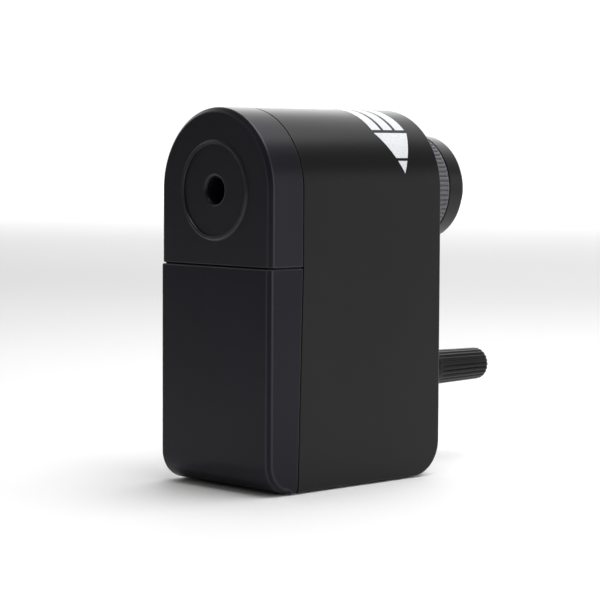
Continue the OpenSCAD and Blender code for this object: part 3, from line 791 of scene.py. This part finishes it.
def wrapped(bm):
    """Lays the flat print on the casing's arch."""
    for v in bm.verts:
        turn = math.radians(PRINT_START) + v.co.x * 1000 / HALF_W
        radius = mm(HALF_W - PRINT_T) + v.co.z
        depth = v.co.y
        v.co = Vector((radius * math.cos(turn), mm(FRONT_Y + PRINT_FRONT) + depth,
                       mm(AXIS_Z) + radius * math.sin(turn)))
    bmesh.ops.recalc_face_normals(bm, faces=bm.faces)
    return bm


def make_print():
    """A pencil: lead, sharpened cone, three facets of the barrel, two bands and an eraser."""
    wide = PRINT_WIDE
    gap = 1.3
    third = (wide - 2 * gap) / 3
    lead_end = 4.2
    cone_end = 15.0
    lead_half = wide / 2 * lead_end / cone_end
    bm = print_patch([(0, wide / 2), (lead_end, wide / 2 - lead_half), (lead_end, wide / 2 + lead_half)])
    cone_start = lead_end + 1.0
    half = wide / 2 * cone_start / cone_end
    joined(bm, print_patch([(cone_start, wide / 2 - half), (cone_end, 0), (cone_end, wide),
                            (cone_start, wide / 2 + half)]))
    barrel = (16.4, 57.0)
    for i in range(3):
        across = i * (third + gap)
        joined(bm, print_patch([(barrel[0], across), (barrel[1], across), (barrel[1], across + third),
                                (barrel[0], across + third)]))
    for start, end in ((58.4, 60.0), (61.2, 62.8), (64.2, 71.5)):
        joined(bm, print_patch([(start, 0), (end, 0), (end, wide), (start, wide)]))
    return wrapped(bm)


piece(make_print(), "printed_pencil", "casing", print_ink, edge=0, crease=40)


# ---- finishes of the CAD's own pieces ----
FINISHES = {
    "pencil_guide": shell_plastic, "inner_frame": frame_plastic, "bearing_housing": frame_plastic,
    "cutter_carrier": frame_plastic, "ring_gear": gear_plastic, "cutter_pinion": gear_plastic,
    "helical_cutter": cutter_steel, "cover_screws": plain_steel, "frame_screws": plain_steel,
    "cutter_pin": plain_steel, "pin_clip": plain_steel, "thrust_washer": plain_steel,
    "crank_screw": plain_steel, "grip_spindle": plain_steel,
}
for node, material in FINISHES.items():
    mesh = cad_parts[node].data
    mesh.materials.clear()
    mesh.materials.append(material)


# ---- floor, lights and camera ----
VIEW_AZIMUTH = 46.388
VIEW_ELEVATION = 3.987
VIEW_ROLL = 0.268
CAMERA_PLACE = (511.334, -488.170, 107.491)
LENS = 130.30812


def make_floor():
    """A plain pale floor."""
    bm = solid()
    bmesh.ops.create_grid(bm, x_segments=2, y_segments=2, size=6)
    floor = as_object(bm, "floor")
    n = Nodes("floor_paint")
    n.shader.inputs["Specular IOR Level"].default_value = 0.1
    n.link(n.blend(n.spread(n.noise(2, detail=2), 0, 1), (0.92, 0.92, 0.92), (0.94, 0.94, 0.94)),
           n.shader.inputs["Base Color"])
    n.link(n.spread(n.noise(3), 0.7, 0.8), n.shader.inputs["Roughness"])
    floor.data.materials.append(n.material)


def soft_panel(name, size, place, radiance, aim=None, tint=(1, 1, 1)):
    """A soft light. Its place and aim are [away from the camera, to its right, up] in metres."""
    data = bpy.data.lights.new(name, "AREA")
    data.shape = "RECTANGLE"
    data.size, data.size_y = size
    data.energy = radiance * math.pi * size[0] * size[1]
    data.color = tint
    light = bpy.data.objects.new(name, data)
    frame_turn = Matrix.Rotation(math.radians(VIEW_AZIMUTH + 90), 4, "Z")
    here = frame_turn @ Vector((place[0], -place[1], place[2]))
    if aim:
        there = frame_turn @ Vector((aim[0], -aim[1], aim[2]))
        turn = (there - here).to_track_quat("-Z", "Y").to_matrix().to_4x4()
    else:
        turn = frame_turn
    light.matrix_world = Matrix.Translation(here) @ turn
    bpy.context.scene.collection.objects.link(light)


def make_room(glow, dim):
    """A dim room with a bright wall behind the object."""
    world = bpy.data.worlds.new("studio")
    bpy.context.scene.world = world
    world.use_nodes = True
    tree = world.node_tree
    background = tree.nodes["Background"]
    background.inputs["Color"].default_value = (1, 1, 1, 1)
    coords = tree.nodes.new("ShaderNodeTexCoord")
    facing = tree.nodes.new("ShaderNodeVectorMath")
    facing.operation = "DOT_PRODUCT"
    turn = math.radians(VIEW_AZIMUTH)
    facing.inputs[1].default_value = (-math.sin(turn), math.cos(turn), 0.1)
    tree.links.new(coords.outputs["Generated"], facing.inputs[0])
    ramp = tree.nodes.new("ShaderNodeMapRange")
    ramp.interpolation_type = "SMOOTHSTEP"
    ramp.inputs["From Min"].default_value = 0.25
    ramp.inputs["From Max"].default_value = 0.8
    ramp.inputs["To Min"].default_value = dim
    ramp.inputs["To Max"].default_value = glow
    tree.links.new(facing.outputs["Value"], ramp.inputs["Value"])
    tree.links.new(ramp.outputs["Result"], background.inputs["Strength"])


def make_camera():
    """The camera: off the front right corner, near the top's height, looking slightly down."""
    azimuth, elevation, roll = (math.radians(a) for a in (VIEW_AZIMUTH, VIEW_ELEVATION, VIEW_ROLL))
    back = Vector((math.sin(azimuth) * math.cos(elevation), -math.cos(azimuth) * math.cos(elevation),
                   math.sin(elevation)))
    level = Vector((math.cos(azimuth), math.sin(azimuth), 0))
    up = back.cross(level)
    right = level * math.cos(roll) + up * math.sin(roll)
    up = back.cross(right)
    data = bpy.data.cameras.new("camera")
    data.sensor_width = 36
    data.lens = LENS
    data.clip_start = 0.01
    camera = bpy.data.objects.new("camera", data)
    camera.matrix_world = Matrix.Translation(mm(*CAMERA_PLACE)) @ Matrix(
        (right, up, back)).transposed().to_4x4()
    bpy.context.scene.collection.objects.link(camera)
    bpy.context.scene.camera = camera


make_floor()
make_room(1.08, 0.1)
soft_panel("far_panel", (6.5, 4), (5.75, 0.5, 1.6), 1.75)
soft_panel("rear_panel", (2.8, 1.9), (1.1, 0.6, 1.6), 0.45)
soft_panel("top_box", (0.7, 0.7), (-0.05, 0.25, 0.8), 3.8)
soft_panel("side_box", (1.3, 0.5), (0.15, 1.5, 0.3), 1.0, aim=(0, 0, 0.05))
soft_panel("left_box", (0.55, 0.5), (0.22, -1.05, 0.62), 0.75, aim=(0, 0, 0.08), tint=(1, 1, 0.84))
soft_panel("edge_strip", (0.5, 0.8), (-1.05, 1.05, 0.42), 4.0, aim=(0, 0, 0.06))
make_camera()
bpy.context.scene.view_settings.view_transform = "Standard"
